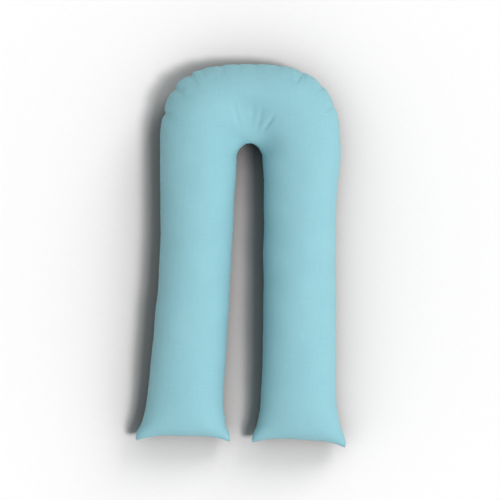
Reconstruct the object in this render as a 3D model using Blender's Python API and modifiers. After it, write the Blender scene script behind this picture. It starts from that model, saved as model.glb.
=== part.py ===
"""A U-shaped body pillow, lying on its back on a flat surface.

Two like U-shaped cloth panels are sewn together all round and stuffed, so the pillow is one closed
soft solid: a tube bent into a U, with its seam at mid height, a crowned top, a flattened underside,
puckers in the long outer seam round the bend, and flat ends whose corners stand out as ears.

Metres. +X is across the legs, +Y points from the legs' ends to the bend, +Z is up from the surface.
The origin is on the surface, under the middle of the pillow's box.
"""

import math

import bpy

# Heights of the stuffed tube.
SEAM_HEIGHT = 0.088  # the side seams, above the surface
END_SEAM_HEIGHT = 0.052  # the end seams, which droop
END_SEAM_DROOP_LENGTH = 0.30  # how much of each leg droops towards its end
CROWN_RISE = 0.114  # the crown, above the side seams
UNDERSIDE_DROP = 0.118  # the underside, below the side seams, before the surface flattens it

# The round end of the gap between the legs, and the outer edge of the bend, about the same centre.
BEND_CENTRE = (0.032, 0.384)
GAP_END_RADIUS = 0.052
BEND_HALF_WIDTH_LEFT = 0.349
BEND_HALF_WIDTH_RIGHT = 0.358
BEND_RISE = 0.368
BEND_SQUARENESS = 2.8  # 2 is an ellipse, and more is squarer

# The legs' edges, from the bend to the ear at the end: (x, y).
LEFT_LEG_OUTER = (
    (-0.317, 0.384), (-0.317, 0.024), (-0.333, -0.212),
    (-0.369, -0.564), (-0.390, -0.658), (-0.413, -0.715),
)
LEFT_LEG_INNER = (
    (-0.020, 0.384), (-0.037, 0.024), (-0.050, -0.212),
    (-0.067, -0.564), (-0.057, -0.658), (-0.039, -0.728),
)
RIGHT_LEG_INNER = (
    (0.084, 0.384), (0.087, 0.300), (0.087, -0.212),
    (0.074, -0.564), (0.061, -0.658), (0.039, -0.732),
)
RIGHT_LEG_OUTER = (
    (0.390, 0.384), (0.373, 0.200), (0.371, -0.212),
    (0.375, -0.564), (0.389, -0.658), (0.413, -0.750),
)
END_BOW = 0.030  # how far the middle of an end seam is drawn in from the line between its ears
END_BOW_LENGTH = 0.26  # how far up the leg that bow still shows
END_FULLNESS = 1.9  # how quickly a leg fills out from its end seam, per half width

# Puckers gathered in the outer seam of the bend: (direction from the bend's centre, depth). The
# rounding of the cage takes about half of that depth away.
PUCKERS = (
    (152, 0.020), (137, 0.022), (125, 0.020), (116, 0.016), (106, 0.015), (96, 0.014),
    (84, 0.014), (72, 0.015), (59, 0.016), (46, 0.017), (36, 0.017), (26, 0.015),
)
PUCKER_HALF_ANGLE = 3.0  # degrees from a pucker's bottom to where the edge is full again

LEG_ROWS = 11  # sections along each leg
AROUND_HALF = 8  # points from seam to seam, over the top and again underneath
ROWS_BETWEEN_PUCKERS = 1

CLOTH_COLOUR = (0.33, 0.65, 0.72, 1.0)


def clear_scene():
    for obj in list(bpy.data.objects):
        bpy.data.objects.remove(obj)


def mix(a, b, share):
    return a + (b - a) * share


def smooth_step(share):
    share = min(1.0, max(0.0, share))
    return share * share * (3 - 2 * share)


def edge_x(points, y):
    """x of an edge at y: a cubic through the points, with each point's slope from its neighbours."""
    last = len(points) - 1
    k = next((i for i in range(last) if y >= points[i + 1][1]), last - 1)

    def slope(i):
        before, after = points[max(0, i - 1)], points[min(last, i + 1)]
        return (after[0] - before[0]) / (after[1] - before[1])

    (x0, y0), (x1, y1) = points[k], points[k + 1]
    span = y1 - y0
    t = (y - y0) / span
    return (
        (2 * t**3 - 3 * t**2 + 1) * x0
        + (t**3 - 2 * t**2 + t) * span * slope(k)
        + (3 * t**2 - 2 * t**3) * x1
        + (t**3 - t**2) * span * slope(k + 1)
    )


def edge_point(points, share):
    """The edge's point at this share of the way from the bend to the ear."""
    y = mix(points[0][1], points[-1][1], share)
    return edge_x(points, y), y


def bend_radius(degrees):
    """A superellipse's radius in this direction, less the pucker there."""
    angle = math.radians(degrees)
    across, along = math.cos(angle), math.sin(angle)
    half = BEND_HALF_WIDTH_RIGHT if across > 0 else BEND_HALF_WIDTH_LEFT
    n = BEND_SQUARENESS
    radius = (abs(across / half) ** n + abs(along / BEND_RISE) ** n) ** (-1 / n)
    for direction, depth in PUCKERS:
        radius -= depth * (1 - smooth_step(abs(degrees - direction) / PUCKER_HALF_ANGLE))
    return radius


def section(inner, outer, fullness, seam_height, bow):
    """Points round the tube: from the inner seam over the top to the outer seam, then back beneath.

    At the end seam fullness is 0, and top and underside are the same row, which is given once.
    """
    over, under = [], []
    for j in range(AROUND_HALF + 1):
        angle = math.pi * j / AROUND_HALF
        across = (1 - math.cos(angle)) / 2
        x = mix(inner[0], outer[0], across)
        y = mix(inner[1], outer[1], across) + bow * math.sin(angle) ** 2
        rise = CROWN_RISE * fullness * math.sin(angle)
        drop = UNDERSIDE_DROP * fullness * math.sin(angle)
        over.append((x, y, seam_height + rise))
        under.append((x, y, max(0.0, seam_height - drop)))
    return over if fullness == 0 else over + under[-2:0:-1]


def leg_sections(inner_edge, outer_edge):
    """Sections from the bend to the end seam, closer together where the leg tapers."""
    length = inner_edge[0][1] - inner_edge[-1][1]
    half_width = (edge_x(outer_edge, 0) - edge_x(inner_edge, 0)) / 2
    found = []
    for i in range(1, LEG_ROWS + 1):
        share = 1 - (1 - i / LEG_ROWS) ** 2.0
        to_end = length * (1 - share)
        fullness = math.sqrt(1 - math.exp(-END_FULLNESS * to_end / abs(half_width)))
        found.append(
            section(
                edge_point(inner_edge, share),
                edge_point(outer_edge, share),
                fullness,
                mix(END_SEAM_HEIGHT, SEAM_HEIGHT, smooth_step(to_end / END_SEAM_DROOP_LENGTH)),
                END_BOW * (1 - smooth_step(to_end / END_BOW_LENGTH)),
            )
        )
    return found


def bend_directions():
    """Directions of the bend's sections: one at each pucker's bottom, and others between them."""
    found = [180.0, 171.0, 163.0]
    for (direction, _), after in zip(PUCKERS, PUCKERS[1:] + ((14, 0),)):
        step = (after[0] - direction) / (ROWS_BETWEEN_PUCKERS + 1)
        found += [direction + step * i for i in range(ROWS_BETWEEN_PUCKERS + 1)]
    return found + [14.0, 0.0]


def bend_sections():
    centre_x, centre_y = BEND_CENTRE

    def at(radius, degrees):
        angle = math.radians(degrees)
        return centre_x + radius * math.cos(angle), centre_y + radius * math.sin(angle)

    return [
        section(at(GAP_END_RADIUS, d), at(bend_radius(d), d), 1.0, SEAM_HEIGHT, 0.0)
        for d in bend_directions()
    ]


def pillow_mesh():
    """A loft through all sections, from the left leg's end seam round the bend to the right leg's."""
    rows = leg_sections(LEFT_LEG_INNER, LEFT_LEG_OUTER)[::-1]
    rows += bend_sections()
    rows += leg_sections(RIGHT_LEG_INNER, RIGHT_LEG_OUTER)

    points, index = [], []
    for row in rows:
        index.append(list(range(len(points), len(points) + len(row))))
        points += row
    # An end seam's one row serves the top and, read backwards, the underside.
    for end in (0, -1):
        index[end] += index[end][-2:0:-1]
    around = 2 * AROUND_HALF
    faces = [
        (first[j], second[j], second[(j + 1) % around], first[(j + 1) % around])
        for first, second in zip(index, index[1:])
        for j in range(around)
    ]
    mesh = bpy.data.meshes.new("body_pillow")
    mesh.from_pydata(points, [], faces)

    seams = {
        frozenset((first[j], second[j]))
        for first, second in zip(index, index[1:])
        for j in (0, AROUND_HALF)
    }
    for end in (index[0], index[-1]):
        seams |= {frozenset((end[j], end[j + 1])) for j in range(AROUND_HALF)}
    crease = mesh.attributes.new("crease_edge", "FLOAT", "EDGE")
    for edge in mesh.edges:
        crease.data[edge.index].value = float(frozenset(edge.vertices) in seams)
    return mesh


def cloth_material():
    material = bpy.data.materials.new("plain_cotton")
    material.use_nodes = True
    shader = material.node_tree.nodes["Principled BSDF"]
    shader.inputs["Base Color"].default_value = CLOTH_COLOUR
    shader.inputs["Roughness"].default_value = 0.85
    shader.inputs["Metallic"].default_value = 0.0
    return material


def build_pillow():
    mesh = pillow_mesh()
    mesh.materials.append(cloth_material())
    mesh.shade_smooth()
    pillow = bpy.data.objects.new("body_pillow", mesh)
    rounding = pillow.modifiers.new("rounding", "SUBSURF")
    rounding.levels = 1
    rounding.render_levels = 1
    collection = bpy.data.collections.new("u_shaped_body_pillow")
    bpy.context.scene.collection.children.link(collection)
    collection.objects.link(pillow)


clear_scene()
build_pillow()
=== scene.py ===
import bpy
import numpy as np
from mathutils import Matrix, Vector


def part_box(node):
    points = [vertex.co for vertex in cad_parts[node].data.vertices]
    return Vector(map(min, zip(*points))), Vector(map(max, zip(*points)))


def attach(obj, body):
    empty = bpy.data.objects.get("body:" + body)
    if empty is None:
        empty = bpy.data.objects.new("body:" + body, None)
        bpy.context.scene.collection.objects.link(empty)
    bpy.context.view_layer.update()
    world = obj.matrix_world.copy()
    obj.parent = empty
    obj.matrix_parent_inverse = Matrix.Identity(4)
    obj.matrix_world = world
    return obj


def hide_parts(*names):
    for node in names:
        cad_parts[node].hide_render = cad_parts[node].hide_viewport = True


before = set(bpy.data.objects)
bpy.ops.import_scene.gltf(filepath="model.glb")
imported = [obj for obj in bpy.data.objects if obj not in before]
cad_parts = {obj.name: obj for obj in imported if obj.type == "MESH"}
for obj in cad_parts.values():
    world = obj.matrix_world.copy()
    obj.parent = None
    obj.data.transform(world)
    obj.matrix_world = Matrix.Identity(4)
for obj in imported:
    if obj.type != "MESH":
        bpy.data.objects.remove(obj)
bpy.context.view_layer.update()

# A long U-shaped body pillow, firmly stuffed and lying on its back: two like U-shaped panels of cotton
# sewn together all round, so all of it is one tube bent into a U. It is worked out as one grid of
# points, with rows across the tube and columns round it, and each stage moves that whole grid.
# First comes the stuffed form, then Blender's cloth fills it with a little more cloth than it needs, so
# that the rest gathers at the seam, and last the creases that the filling can't know of are pressed in.

boxLow, boxHigh = (np.array(corner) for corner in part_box("body_pillow"))
scene = bpy.context.scene


cover = {
    # The legs' edges from the bend to the ear, as shares of the box's width and length.
    "leftOuter": [
        (0.116, 0.757), (0.116, 0.517), (0.097, 0.359), (0.053, 0.124), (0.028, 0.064), (0.002, 0.036),
        (-0.002, 0.017),
    ],
    "leftInner": [
        (0.480, 0.757), (0.455, 0.517), (0.439, 0.359), (0.417, 0.124), (0.427, 0.061), (0.445, 0.035),
        (0.451, 0.013),
    ],
    "rightInner": [
        (0.602, 0.757), (0.609, 0.680), (0.609, 0.610), (0.6065, 0.500), (0.6065, 0.360), (0.603, 0.230),
        (0.594, 0.124), (0.577, 0.061), (0.560, 0.037), (0.549, 0.012),
    ],
    "rightOuter": [
        (0.972, 0.757), (0.952, 0.634), (0.949, 0.359), (0.952, 0.124), (0.970, 0.061), (0.989, 0.030),
        (0.998, 0.012), (0.999, -0.002),
    ],
    # The bend, about the centre of the gap's round end. A pair is for its left and its right half.
    "bendProud": 0.004,  # past the CAD box
    "squareness": (3.15, 2.92),  # 2 is an ellipse, and more is squarer
    "gapRadius": 0.0504,
    "gapRise": 0.0555,
    "gapPinch": (0.05, 0.03),
    "gapLift": 0.055,
    # Heights of the tube, and how far along a leg an ear's droop still shows.
    "seamHeight": 0.091,
    "endSeamHeight": 0.067,
    "earDroop": 0.006,
    "earLength": 0.12,
    "crownRise": 0.110,
    "undersideDrop": 0.120,
    # The legs' ends.
    "droopLength": 0.46,
    "earRounding": 0.006,
    "endBow": 0.0205,
    "endBowSquareness": 3.0,
    "endBowLength": 0.26,
    "endFullness": 2.4,
    "legHalfWidth": 0.147,
    # The grid, and how much closer its lines lie at both ends of a leg and at the seams.
    "legRows": 84,
    "bendRows": 162,
    "columns": 72,
    "rowCrowding": 0.50,
    "seamCrowding": 0.35,
    # The gathers in the seam round the bend: (direction in degrees, depth in metres). Each starts
    # quickly on its clockwise side and slowly on the other, as where one fold tucks under the next.
    "gathers": [
        (152, 0.010), (137, 0.012), (125.5, 0.010), (119, 0.004), (107, 0.005), (96.5, 0.003),
        (86, 0.003), (72, 0.002), (58, 0.007), (44.5, 0.006), (31.5, 0.005),
    ],
    "gatherSlowAngle": 3.2,
    "gatherQuickAngle": 1.3,
    "gatherSharpness": 1.5,
    "gatherReach": 10,
    "spareCloth": 0.024,
    "spareReach": 7,
}
tiny = 1e-12  # keeps a division clear of zero


def smoothStep(t):
    t = np.clip(t, 0, 1)
    return t * t * (3 - 2 * t)


def legEdge(name, share):
    # A cubic through the edge's points, each point's slope taken from the line between its neighbours.
    points = boxLow[:2] + np.array(cover[name]) * (boxHigh - boxLow)[:2]
    x, y = points[:, 0], points[:, 1]
    slope = np.concatenate([[(x[1] - x[0]) / (y[1] - y[0])], (x[2:] - x[:-2]) / (y[2:] - y[:-2]),
                            [(x[-1] - x[-2]) / (y[-1] - y[-2])]])
    at = y[0] + (y[-1] - y[0]) * share
    k = np.clip(np.searchsorted(-y, -at, side="right") - 1, 0, len(y) - 2)
    run = y[k + 1] - y[k]
    t = (at - y[k]) / run
    curve = ((2 * t**3 - 3 * t**2 + 1) * x[k] + (t**3 - 2 * t**2 + t) * run * slope[k]
             + (3 * t**2 - 2 * t**3) * x[k + 1] + (t**3 - t**2) * run * slope[k + 1])
    # The ear's tip is rounded off: as far in as a circle's arc leaves its tangent.
    arc = np.clip(1 - (at - y[-1]) / cover["earRounding"], 0, 1)
    inwards = 1 if name.endswith("Outer") == name.startswith("left") else -1
    curve += inwards * cover["earRounding"] * (1 - np.sqrt(1 - arc**2))
    return np.stack([curve, at], 1)


def edgesOfRows():
    # Each row's inner and outer seam point, its direction from the bend's centre, as a ray and as an
    # angle, and its distance to the end seam. The bend's outer edge is a superellipse,
    # |x/a|^n + |y/b|^n = 1, and its inner edge an ellipse, drawn in by gapPinch (2 cos a sin a)^2.
    t = np.arange(1, cover["legRows"] + 1) / cover["legRows"]
    share = t - cover["rowCrowding"] * np.sin(2 * np.pi * t) / (2 * np.pi)
    inner = [legEdge("leftInner", share)[::-1], None, legEdge("rightInner", share)]
    outer = [legEdge("leftOuter", share)[::-1], None, legEdge("rightOuter", share)]
    leftSide, rightSide = legEdge("leftOuter", np.zeros(1))[0], legEdge("rightOuter", np.zeros(1))[0]
    leftGap, rightGap = legEdge("leftInner", np.zeros(1))[0], legEdge("rightInner", np.zeros(1))[0]
    centre = (leftGap + rightGap) / 2
    degrees = np.linspace(180, 0, cover["bendRows"] + 1)
    across, along = np.cos(np.radians(degrees)), np.sin(np.radians(degrees))
    half = np.where(across > 0, rightSide[0] - centre[0], centre[0] - leftSide[0])
    rise = boxHigh[1] - centre[1] + cover["bendProud"]
    n = np.where(across > 0, cover["squareness"][1], cover["squareness"][0])
    radius = (np.abs(across / half) ** n + np.abs(along / rise) ** n) ** (-1 / n)
    ray = np.stack([across, along], 1)
    pinch = np.where(across > 0, cover["gapPinch"][1], cover["gapPinch"][0])
    pinch = pinch * (2 * across * along) ** 2
    inner[1] = centre + (1 - pinch)[:, None] * ray * [cover["gapRadius"], cover["gapRise"]]
    outer[1] = centre + radius[:, None] * ray
    legLength = leftGap[1] - boxLow[1]
    toEnd = np.concatenate([(1 - share)[::-1], np.ones(len(degrees)), 1 - share]) * legLength
    noBend = np.zeros((cover["legRows"], 2))
    rays = np.concatenate([noBend, ray, noBend])
    angles = np.concatenate([np.full(cover["legRows"], 180.0), degrees, np.zeros(cover["legRows"])])
    return np.concatenate(inner), np.concatenate(outer), rays, angles, toEnd


def columnAngles(count):
    # Evenly round the tube, but crowded towards the two seams, at 0 and 180 degrees.
    t = np.arange(count) / count * 2
    return np.pi * (t - cover["seamCrowding"] * np.sin(2 * np.pi * t) / (2 * np.pi))


def tubeForm(gathered, spare):
    # The tube's section is an ellipse between its seam points, (1 - cos a) / 2 across and sin a high,
    # cut flat by the surface. It thins to nothing at the end seam as sqrt(1 - exp(-k d)), with d the
    # distance to that seam in leg half widths.
    inner, outer, rays, angles, toEnd = edgesOfRows()
    a = columnAngles(cover["columns"])
    across = (1 - np.cos(a)) / 2
    fullness = np.sqrt(1 - np.exp(-cover["endFullness"] * toEnd / cover["legHalfWidth"]))
    fullness[np.any(rays != 0, 1)] = 1
    droop = 1 - smoothStep(toEnd / cover["droopLength"])
    seamHeight = cover["seamHeight"] + (cover["endSeamHeight"] - cover["seamHeight"]) * droop
    bow = gathered * cover["endBow"] * (1 - smoothStep(toEnd / cover["endBowLength"]))

    flat = inner[:, None] + (outer - inner)[:, None] * across[:, None]
    flat[..., 1] += bow[:, None] * (1 - np.abs(2 * across - 1) ** cover["endBowSquareness"])
    # Each gather pulls the outer seam in by its depth times exp(-t^gatherSharpness), t being how far
    # round it is over the slow or the quick angle. The cut isn't pulled in, and has cloth to spare
    # there, most at the top of the bend: as the root of the ray's y.
    pulledIn = np.zeros(len(rays))
    for direction, depth in cover["gathers"]:
        lag = angles - direction
        reach = np.where(lag > 0, cover["gatherSlowAngle"], cover["gatherQuickAngle"])
        pulledIn += depth * np.exp(-(np.abs(lag) / reach) ** cover["gatherSharpness"])
    sideways = -gathered * pulledIn[:, None] * across ** cover["gatherReach"]
    widest = np.sqrt(np.clip(rays[:, 1], 0, 1))
    sideways = sideways + spare * widest[:, None] * across ** cover["spareReach"]
    flat += sideways[..., None] * rays[:, None]

    sine = np.sin(a)
    height = np.where(sine > 0, cover["crownRise"], cover["undersideDrop"]) * sine
    # The ears droop, by cos^4 a. The short seam round the gap's end is held up, which flattens the
    # cloth above it, by the cube of the ray's y times the cube of what is left of the way across.
    ears = cover["earDroop"] * (1 - smoothStep(toEnd / cover["earLength"]))[:, None] * np.cos(a) ** 4
    lift = cover["gapLift"] * rays[:, 1:] ** 3 * (1 - across) ** 3
    z = seamHeight[:, None] + fullness[:, None] * height - ears + lift
    return np.concatenate([flat, np.maximum(z, 0)[..., None]], 2)


def weldedFaces(rows, columns):
    # The grid's vertex numbers and faces. An end row is one seam, so its underside is its top again.
    number = np.arange(rows * columns).reshape(rows, columns)
    back = np.arange(1, columns // 2)
    for end in (0, -1):
        number[end, -back] = number[end, back]
    used = np.unique(number)
    number = np.searchsorted(used, number)
    beside = np.roll(number, -1, 1)
    faces = np.stack([number[:-1], number[1:], beside[1:], beside[:-1]], 2).reshape(-1, 4)
    return number, used, faces


def gridObject(name, grid):
    used, faces = weldedFaces(*grid.shape[:2])[1:]
    mesh = bpy.data.meshes.new(name)
    mesh.from_pydata(grid.reshape(-1, 3)[used].tolist(), [], faces.tolist())
    piece = bpy.data.objects.new(name, mesh)
    scene.collection.objects.link(piece)
    return piece


filling = {
    "frames": 20,
    "pressure": 3.0,
    "stiffness": 30.0,
    "shear": 10.0,
    "bending": 0.3,
    "pointMass": 0.3,
    "steps": 5,
    "surfaceSize": 4,
    "clearance": 0.001,
    "seed": 5,
    "unevenness": 0.00015,
    "mostMove": 0.016,
}


def filled(start, cut):
    # Cloth with the cut's lengths, blown out from the stuffed form on a hard surface, its seams held.
    rows, columns = start.shape[:2]
    number, used = weldedFaces(rows, columns)[:2]
    held = np.zeros((rows, columns), bool)
    held[:, [0, columns // 2]] = True
    held[[0, -1]] = True
    across = (1 - np.cos(columnAngles(columns))) / 2
    loose = np.random.default_rng(filling["seed"]).normal(0, filling["unevenness"], start.shape)
    loose = start + loose * (across * ~held)[..., None]

    piece = gridObject("coverBeingFilled", loose)
    piece.shape_key_add(name="stuffed")
    cutKey = piece.shape_key_add(name="cut")
    cutKey.data.foreach_set("co", cut.reshape(-1, 3)[used].ravel())
    seam = piece.vertex_groups.new(name="seam")
    seam.add(np.unique(number[held]).tolist(), 1.0, "REPLACE")

    cloth = piece.modifiers.new("filling", "CLOTH")
    fabric = cloth.settings
    fabric.rest_shape_key = cutKey
    fabric.vertex_group_mass = "seam"
    fabric.quality = filling["steps"]
    fabric.mass = filling["pointMass"]
    fabric.tension_stiffness = filling["stiffness"]
    fabric.compression_stiffness = filling["stiffness"]
    fabric.shear_stiffness = filling["shear"]
    fabric.bending_stiffness = filling["bending"]
    fabric.use_pressure = True
    fabric.uniform_pressure_force = filling["pressure"]
    fabric.effector_weights.gravity = 0
    cloth.collision_settings.distance_min = filling["clearance"]
    cloth.point_cache.frame_start = 1
    cloth.point_cache.frame_end = filling["frames"]

    beneath = (0, 0, -2 * filling["clearance"])
    bpy.ops.mesh.primitive_plane_add(size=filling["surfaceSize"], location=beneath)
    table = bpy.context.object
    table.modifiers.new("hard", "COLLISION")
    table.collision.thickness_outer = filling["clearance"]

    scene.frame_start, scene.frame_end = 1, filling["frames"]
    for step in range(1, filling["frames"] + 1):
        scene.frame_set(step)
    settled = piece.evaluated_get(bpy.context.evaluated_depsgraph_get()).to_mesh()
    points = np.empty(len(settled.vertices) * 3, np.float32)
    settled.vertices.foreach_get("co", points)
    scene.frame_set(1)
    for helper in (piece, table):
        bpy.data.objects.remove(helper)

    move = points.reshape(-1, 3)[number] - start
    far = np.linalg.norm(move, axis=2, keepdims=True)
    move *= np.minimum(1, filling["mostMove"] / np.maximum(far, tiny))
    return start + move


def midway(a, b, c, d):
    # The middle of the cubic through four points in a row.
    return (9 * (b + c) - a - d) / 16


def doubled(grid):
    # Twice the rows and columns, with each new point midway between its neighbours on a cubic.
    before, after = 2 * grid[:1] - grid[1:2], 2 * grid[-1:] - grid[-2:-1]
    rows = np.concatenate([before, grid, after])
    taller = np.empty((2 * len(grid) - 1, *grid.shape[1:]))
    taller[::2] = grid
    taller[1::2] = midway(rows[:-3], rows[1:-2], rows[2:-1], rows[3:])
    wider = np.empty((len(taller), 2 * grid.shape[1], *grid.shape[2:]))
    wider[:, ::2] = taller
    wider[:, 1::2] = midway(*(np.roll(taller, shift, 1) for shift in (1, 0, -1, -2)))
    return wider


def outwards(grid):
    # Unit normals, from the steps to the next row and to the next column.
    alongRow = np.roll(grid, -1, 1) - np.roll(grid, 1, 1)
    normal = np.cross(np.gradient(grid, axis=0), alongRow)
    return normal / np.maximum(np.linalg.norm(normal, axis=2, keepdims=True), tiny)


creases = {
    # A wide valley runs up the top from the gap's round end, with a narrower one in it: start and end
    # from the bend's centre, depth as a share of the height, and half width.
    "valleys": [
        ((0.012, 0.235), (-0.036, 0.010), 0.165, 0.105),
        ((0.008, 0.160), (-0.008, 0.010), 0.060, 0.055),
    ],
    # Folds fan out from the gap's end: start and end, depth and half width, in metres. They fade
    # where the cloth turns so steep that its normal rises less than topSlope.
    "fan": [
        ((-0.066, 0.208), (-0.042, 0.128), 0.0028, 0.0095),
        ((0.012, 0.208), (0.010, 0.132), 0.0013, 0.0110),
        ((0.049, 0.190), (0.030, 0.116), 0.0020, 0.0095),
        ((0.094, 0.160), (0.054, 0.109), 0.0034, 0.0085),
    ],
    "topSlope": 0.3,
    # Every fold and valley runs on past both ends by the first share of its length, and takes the
    # second share to reach its full depth.
    "foldOverrun": 0.15,
    "foldFade": 0.45,
    # A short fold runs in from each gather and leans round with the bend. It is this much as deep.
    "foldShare": 0.25,
    "foldLength": 0.036,
    "foldHalfWidth": 0.0055,
    "foldLean": 42,
    # Small ripples above the gap's end: their height and spacing, how far out from the bend's centre
    # their middle is, and how far to the sides they reach.
    "rippleHeight": 0.0009,
    "rippleSpacing": 0.0125,
    "rippleMiddle": 0.074,
    "rippleWidth": 0.028,
    # The seam's groove, and the tucks that its thread pulls in beside it. Their spacing wanders and
    # their depth swells: how much, and how often for each tuck.
    "seamDepth": 0.0022,
    "seamHalfWidth": 0.0045,
    "tuckDepth": 0.0010,
    "tuckSpacing": 0.021,
    "tuckReach": 0.022,
    "tuckWander": (1.7, 0.37),
    "tuckSwell": (0.4, 0.23),
    # Faint lumps in the filling, above this height: a share of sin(a x + b y + c) times another such
    # sine, with each sine's a, b and c.
    "lumps": [
        (1.0, (21, 9, 4), (-6, 17, 1)),
        (0.6, (11, 34, 0), (29, 0, 2)),
    ],
    "lumpDepth": 0.0012,
    "lumpHeight": 0.05,
}


def panelLengths(grid):
    # The length of cloth from the inner seam, along each row: over the top, and again underneath.
    step = np.linalg.norm(np.roll(grid, -1, 1) - grid, axis=2)
    half = grid.shape[1] // 2
    start = np.zeros((len(grid), 1))
    over = np.concatenate([start, np.cumsum(step[:, :half], 1)], 1)
    under = np.concatenate([start, np.cumsum(step[:, :half - 1:-1], 1)], 1)
    return over, under


def seamReach(grid):
    # The length of cloth from each point to the nearest seam, and from the left leg's end.
    over, under = (np.minimum(lengths, lengths[:, -1:] - lengths) for lengths in panelLengths(grid))
    toSide = np.concatenate([over, under[:, -2:0:-1]], 1)
    step = np.linalg.norm(np.diff(grid, axis=0), axis=2)
    along = np.concatenate([np.zeros((1, grid.shape[1])), np.cumsum(step, 0)])
    return np.minimum(toSide, np.minimum(along, along[-1] - along)), along


def troughs(grid, start, end, halfWidth):
    # How deep each point lies in a fold that runs from start to end: (1 - q / 2) exp(-q / 2) across
    # it, with q the squared distance in half widths, which leaves a soft rim beside the fold.
    line = end - start
    offset = grid[..., :2] - start
    t = offset @ line / (line @ line)
    side = (offset[..., 0] * line[1] - offset[..., 1] * line[0]) / np.linalg.norm(line)
    q = (side / halfWidth) ** 2
    over, fade = creases["foldOverrun"], creases["foldFade"]
    ends = smoothStep((t + over) / fade) * smoothStep((1 + over - t) / fade)
    return (1 - q / 2) * np.exp(-q / 2) * ends


def pressed(grid):
    # The valleys lower the grid, and every other crease is a depth along its outward normals.
    inner, outer, rays, angles = edgesOfRows()[:4]
    centre = (inner[cover["legRows"]] + inner[-cover["legRows"] - 1]) / 2
    grid = grid.copy()
    for start, end, deep, halfWidth in creases["valleys"]:
        grid[..., 2] *= 1 - deep * troughs(grid, centre + start, centre + end, halfWidth)
    normal = outwards(grid)
    onTop = smoothStep(normal[..., 2] / creases["topSlope"])
    depth = np.zeros(grid.shape[:2])
    for start, end, deep, halfWidth in creases["fan"]:
        depth += deep * onTop * troughs(grid, centre + start, centre + end, halfWidth)

    lean = np.radians(creases["foldLean"])
    for direction, deep in cover["gathers"]:
        row = np.argmin(np.abs(angles - direction))
        ray = rays[row]
        run = -np.cos(lean) * ray + np.sin(lean) * np.array([ray[1], -ray[0]])
        notch = outer[row] - deep * ray
        fold = troughs(grid, notch, notch + creases["foldLength"] * run, creases["foldHalfWidth"])
        depth += creases["foldShare"] * deep * fold

    out = grid[..., :2] - centre
    fromCentre = np.linalg.norm(out, axis=2)
    wave = np.sin(2 * np.pi * (fromCentre - creases["rippleMiddle"]) / creases["rippleSpacing"])
    ring = np.exp(-((fromCentre - creases["rippleMiddle"]) / creases["rippleSpacing"]) ** 2)
    fanned = np.exp(-(out[..., 0] / creases["rippleWidth"]) ** 2) * (out[..., 1] > 0)
    depth += creases["rippleHeight"] * wave * ring * fanned * onTop

    reach, along = seamReach(grid)
    depth += creases["seamDepth"] * np.exp(-(reach / creases["seamHalfWidth"]) ** 2)
    phase = 2 * np.pi * along / creases["tuckSpacing"]
    wander, wanderRate = creases["tuckWander"]
    swell, swellRate = creases["tuckSwell"]
    tucks = np.sin(phase + wander * np.sin(wanderRate * phase))
    tucks *= 1 - swell + swell * np.sin(swellRate * phase + 1)
    depth += creases["tuckDepth"] * tucks * np.exp(-(reach / creases["tuckReach"]) ** 2)

    x, y, z = np.moveaxis(grid, 2, 0)
    lumps = np.zeros(x.shape)
    for share, *waves in creases["lumps"]:
        lumps += share * np.prod([np.sin(a * x + b * y + c) for a, b, c in waves], 0)
    depth += creases["lumpDepth"] * lumps * smoothStep(z / creases["lumpHeight"])
    moved = grid - depth[..., None] * normal
    moved[..., 2] = np.maximum(moved[..., 2], 0)
    back = np.arange(1, grid.shape[1] // 2)
    for end in (0, -1):
        moved[end, -back] = moved[end, back]
    return moved


def laidFlat(piece, grid):
    # A UV map in metres, as the two panels lie before they are sewn: each point is the inner seam's
    # point of its row, and from there the row's length of cloth straight across. Two more values
    # say how far a point is from the seam, and how far along it.
    half = grid.shape[1] // 2
    inner, outer = grid[:, :1, :2], grid[:, half:half + 1, :2]
    across = (outer - inner) / np.linalg.norm(outer - inner, axis=2, keepdims=True)
    over, under = (inner + across * lengths[..., None] for lengths in panelLengths(grid))
    here = np.concatenate([over[:, :-1], under[:, :0:-1]], 1)
    beside = np.concatenate([over[:, 1:], under[:, -2::-1]], 1)
    corners = np.stack([here[:-1], here[1:], beside[1:], beside[:-1]], 2)
    piece.data.uv_layers.new(name="panelCut").data.foreach_set("uv", corners.ravel())
    used = weldedFaces(*grid.shape[:2])[1]
    for name, values in zip(("fromSeam", "alongSeam"), seamReach(grid)):
        attribute = piece.data.attributes.new(name, "FLOAT", "POINT")
        attribute.data.foreach_set("value", values.ravel()[used])


def hexColour(code):
    # sRGB hex to linear.
    part = np.array([int(code[i:i + 2], 16) for i in (1, 3, 5)]) / 255
    linear = np.where(part <= 0.04045, part / 12.92, ((part + 0.055) / 1.055) ** 2.4)
    return (*linear.tolist(), 1.0)


def addNode(tree, kind, links=(), inputs=(), **settings):
    # A node with its settings, its fixed inputs, and its inputs linked from other nodes' outputs.
    node = tree.nodes.new(kind)
    for name, value in settings.items():
        setattr(node, name, value)
    for name, value in dict(inputs).items():
        node.inputs[name].default_value = value
    for name, source in dict(links).items():
        tree.links.new(source, node.inputs[name])
    return node


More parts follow.
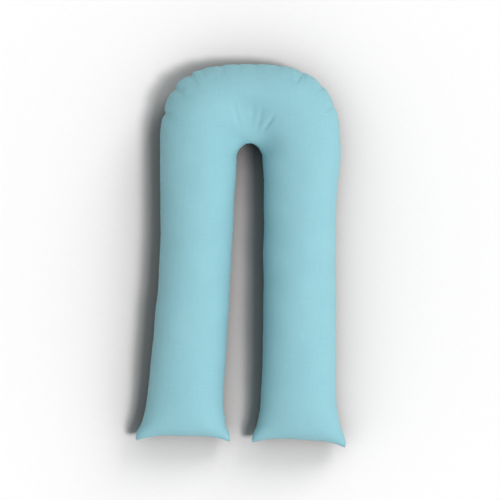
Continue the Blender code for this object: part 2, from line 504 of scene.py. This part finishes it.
cotton = {
    "colour": "#98d0db",
    "faded": "#9bd3dd",
    "deep": "#95cdd8",
    # The seam's colour is painted shade of its groove.
    "paintedSeamShade": "#86bac6",
    # Real threads are about 0.3 mm apart, which no view of a whole pillow can show, so they are drawn
    # eight times as coarse. A slub, where a thread is thicker, is about two such threads wide.
    "threadSpacing": 0.0024,
    "weaveDepth": 0.00025,
    "slubWidth": 0.0045,
    "slubLength": 0.070,
    "slubDetail": 2.0,
    "slubRange": (0.7, 1.3),
    "slubDepth": 0.00016,
    "mottleSize": 0.15,
    "mottleDetail": 3.0,
    "toneRange": (1.15, 1.85),
    # Real stitches are about 2.7 mm long, and are drawn twice as long. Each pulls a small pucker in.
    "stitchLength": 0.0055,
    "stitchDepth": 0.0006,
    "puckerReach": (0.001, 0.012),
    # How far from the seam the painted shade of its groove reaches.
    "paintedSeamShadeWidth": 0.004,
    "roughness": (0.76, 0.88),
    "sheen": 0.1,
    "sheenRoughness": 0.5,
    "specular": 0.35,
}


def cottonMaterial():
    # Plain-woven cotton, dyed in the piece and washed: matt, with a soft pale nap at the edges of sight,
    # a little uneven in tone, with a thicker thread here and there and a drawn-in seam, along which shade
    # is painted.
    material = bpy.data.materials.new("plainWovenCotton")
    material.use_nodes = True
    tree = material.node_tree
    shader = tree.nodes["Principled BSDF"]
    shader.inputs["Sheen Weight"].default_value = cotton["sheen"]
    shader.inputs["Sheen Roughness"].default_value = cotton["sheenRoughness"]
    shader.inputs["Specular IOR Level"].default_value = cotton["specular"]
    cut = addNode(tree, "ShaderNodeUVMap", uv_map="panelCut").outputs["UV"]

    # Threads pass over and under each other: sin(pi u / s) sin(pi v / s), s the thread spacing.
    turns = addNode(tree, "ShaderNodeVectorMath", {0: cut}, operation="SCALE",
                    inputs={"Scale": np.pi / cotton["threadSpacing"]}).outputs["Vector"]
    waves = addNode(tree, "ShaderNodeVectorMath", {0: turns}, operation="SINE").outputs["Vector"]
    wave = addNode(tree, "ShaderNodeSeparateXYZ", {0: waves}).outputs
    weave = addNode(tree, "ShaderNodeMath", {0: wave["X"], 1: wave["Y"]},
                    operation="MULTIPLY").outputs[0]

    # Slubs are noise drawn out along the warp, and again along the weft.
    narrow, drawnOut = 1 / cotton["slubWidth"], 1 / cotton["slubLength"]
    slubs = []
    for scale in ((narrow, drawnOut, 1), (drawnOut, narrow, 1)):
        drawn = addNode(tree, "ShaderNodeMapping", {"Vector": cut}, inputs={"Scale": scale})
        slubs.append(addNode(tree, "ShaderNodeTexNoise", {"Vector": drawn.outputs["Vector"]},
                             inputs={"Scale": 1.0, "Detail": cotton["slubDetail"]}).outputs["Fac"])
    slub = addNode(tree, "ShaderNodeMath", {0: slubs[0], 1: slubs[1]}, operation="ADD").outputs[0]
    place = addNode(tree, "ShaderNodeTexCoord").outputs["Object"]
    mottle = addNode(tree, "ShaderNodeTexNoise", {"Vector": place},
                     inputs={"Scale": 1 / cotton["mottleSize"],
                             "Detail": cotton["mottleDetail"]}).outputs["Fac"]

    # Tone: mottled, and streaked by the slubs, between the deep and the faded colour.
    uneven = addNode(tree, "ShaderNodeMath", {0: slub, 1: mottle}, operation="ADD").outputs[0]
    tone = addNode(tree, "ShaderNodeMapRange", {"Value": uneven},
                   inputs={"From Min": cotton["toneRange"][0],
                           "From Max": cotton["toneRange"][1]}).outputs["Result"]
    dye = addNode(tree, "ShaderNodeValToRGB", {"Fac": tone})
    dye.color_ramp.elements[0].color = hexColour(cotton["deep"])
    dye.color_ramp.elements[1].color = hexColour(cotton["faded"])
    dye.color_ramp.elements.new(0.5).color = hexColour(cotton["colour"])
    # Near the seam the colour goes darker, to the seam's colour: this is painted shade of the seam's
    # groove.
    fromSeam = addNode(tree, "ShaderNodeAttribute", attribute_name="fromSeam").outputs["Fac"]
    atSeam = addNode(tree, "ShaderNodeMapRange", {"Value": fromSeam}, interpolation_type="SMOOTHSTEP",
                     inputs={"From Min": 0.0, "From Max": cotton["paintedSeamShadeWidth"],
                             "To Min": 1.0, "To Max": 0.0}).outputs["Result"]
    shaded = addNode(tree, "ShaderNodeMix", {"Factor": atSeam, "A": dye.outputs["Color"]},
                     data_type="RGBA", inputs={"B": hexColour(cotton["paintedSeamShade"])})
    tree.links.new(shaded.outputs["Result"], shader.inputs["Base Color"])
    matt = addNode(tree, "ShaderNodeMapRange", {"Value": slub},
                   inputs={"From Min": cotton["slubRange"][0], "From Max": cotton["slubRange"][1],
                           "To Min": cotton["roughness"][0], "To Max": cotton["roughness"][1]})
    tree.links.new(matt.outputs["Result"], shader.inputs["Roughness"])

    # Relief: the weave, the slubs, and the small puckers that each stitch of the seam pulls in.
    alongSeam = addNode(tree, "ShaderNodeAttribute", attribute_name="alongSeam").outputs["Fac"]
    stitches = addNode(tree, "ShaderNodeMath", {0: alongSeam}, operation="MULTIPLY",
                       inputs={1: 2 * np.pi / cotton["stitchLength"]}).outputs[0]
    pull = addNode(tree, "ShaderNodeMath", {0: stitches}, operation="SINE").outputs[0]
    nearSeam = addNode(tree, "ShaderNodeMapRange", {"Value": fromSeam}, interpolation_type="SMOOTHSTEP",
                       inputs={"From Min": cotton["puckerReach"][0], "From Max": cotton["puckerReach"][1],
                               "To Min": 1.0, "To Max": 0.0}).outputs["Result"]
    pucker = addNode(tree, "ShaderNodeMath", {0: pull, 1: nearSeam}, operation="MULTIPLY").outputs[0]
    relief = None
    for height, depth in ((weave, "weaveDepth"), (slub, "slubDepth"), (pucker, "stitchDepth")):
        links = {"Height": height, "Normal": relief} if relief else {"Height": height}
        bump = addNode(tree, "ShaderNodeBump", links, inputs={"Distance": cotton[depth]})
        relief = bump.outputs["Normal"]
    tree.links.new(relief, shader.inputs["Normal"])
    return material


def makeCover():
    stuffed = tubeForm(1.0, 0.0)
    cut = tubeForm(0.0, cover["spareCloth"])
    stuffed = filled(stuffed, cut)
    print("cover: filled and settled")
    grid = pressed(doubled(stuffed))
    piece = gridObject("pillowCover", grid)
    laidFlat(piece, grid)
    piece.data.shade_smooth()
    piece.data.materials.append(cottonMaterial())
    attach(piece, "root")
    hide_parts("body_pillow")
    print("cover: creased and sewn,", len(piece.data.polygons), "faces")


studio = {
    # The paper floor, and the shade painted on it where the pillow closes it in: (openness, colour).
    "floorColour": "#fdfdfd",
    "paintedFloorShades": [(0.5, "#c0b8b6"), (0.85, "#e7e5e4")],
    "paintedFloorShadeDarkest": "#000000",
    "shadeReach": 1.5,
    "shadeSamples": 16,
    "floorRoughness": 0.9,
    "floorSpecular": 0.1,
    "floorSize": 60.0,
    "floorGap": 0.0005,
    "worldColour": "#ffffff",
    "worldStrength": 0.191,
    "worldSeen": 0.97,
    # Each sun: the direction that its light comes from, strength, how wide it looks in degrees, and
    # what it lights. The pillow has two broad lights of its own, as under large softboxes.
    "suns": [
        ("keySun", (0.55, -0.25, 0.80), 1.03, 12, "studioFloor"),
        ("keyHalo", (0.45, -0.21, 0.87), 1.27, 20, "studioFloor"),
        ("fillSun", (0.58, 0.69, 0.44), 1.56, 30, "studioFloor"),
        ("broadPanel", (0.42, 0.07, 0.91), 2.02, 60, "pillowCover"),
        ("frontPanel", (0.25, -0.43, 0.87), 0.67, 60, "pillowCover"),
    ],
    # The camera looks straight down from far off, and sees this width.
    "aim": (0.035, 0.0235, 0.088),
    "distance": 12.0,
    "frameWidth": 1.958,
    "sensorWidth": 36,
}


def layFloor():
    # White studio paper, matt and even, with shade painted into its colour where the pillow closes it in.
    bpy.ops.mesh.primitive_plane_add(size=studio["floorSize"], location=(0, 0, -studio["floorGap"]))
    floor = bpy.context.object
    floor.name = "studioFloor"
    material = bpy.data.materials.new("whitePaper")
    material.use_nodes = True
    tree = material.node_tree
    shader = tree.nodes["Principled BSDF"]
    # The paper's colour follows its ambient occlusion. This is painted shade: warm grey where it is half
    # closed in, and black where it is fully closed in.
    openness = addNode(tree, "ShaderNodeAmbientOcclusion", samples=studio["shadeSamples"],
                       inputs={"Distance": studio["shadeReach"]}).outputs["AO"]
    shade = addNode(tree, "ShaderNodeValToRGB", {"Fac": openness})
    shade.color_ramp.elements[0].color = hexColour(studio["paintedFloorShadeDarkest"])
    shade.color_ramp.elements[1].color = hexColour(studio["floorColour"])
    for place, colour in studio["paintedFloorShades"]:
        shade.color_ramp.elements.new(place).color = hexColour(colour)
    tree.links.new(shade.outputs["Color"], shader.inputs["Base Color"])
    shader.inputs["Roughness"].default_value = studio["floorRoughness"]
    shader.inputs["Specular IOR Level"].default_value = studio["floorSpecular"]
    floor.data.materials.append(material)


def lightAndCamera():
    world = bpy.data.worlds.new("studioWorld")
    scene.world = world
    world.use_nodes = True
    background = world.node_tree.nodes["Background"]
    background.inputs["Color"].default_value = hexColour(studio["worldColour"])
    # Above the floor's far edge the world shows as white as the floor, though it lights less.
    direct = addNode(world.node_tree, "ShaderNodeLightPath").outputs["Is Camera Ray"]
    shown = addNode(world.node_tree, "ShaderNodeMapRange", {"Value": direct},
                    inputs={"To Min": studio["worldStrength"], "To Max": studio["worldSeen"]})
    world.node_tree.links.new(shown.outputs["Result"], background.inputs["Strength"])
    for name, source, strength, width, lit in studio["suns"]:
        light = bpy.data.lights.new(name, "SUN")
        light.energy = strength
        light.angle = np.radians(width)
        sun = bpy.data.objects.new(name, light)
        sun.rotation_euler = Vector(source).to_track_quat("Z", "Y").to_euler()
        scene.collection.objects.link(sun)
        receivers = bpy.data.collections.new(f"{name}Lights")
        receivers.objects.link(bpy.data.objects[lit])
        sun.light_linking.receiver_collection = receivers
    scene.view_settings.view_transform = "Standard"
    lens = bpy.data.cameras.new("camera")
    lens.sensor_width = studio["sensorWidth"]
    lens.lens = studio["sensorWidth"] * studio["distance"] / studio["frameWidth"]
    camera = bpy.data.objects.new("camera", lens)
    camera.location = Vector(studio["aim"]) + Vector((0, 0, studio["distance"]))
    scene.collection.objects.link(camera)
    scene.camera = camera
    print("studio: floor, lights and camera")


makeCover()
layFloor()
lightAndCamera()
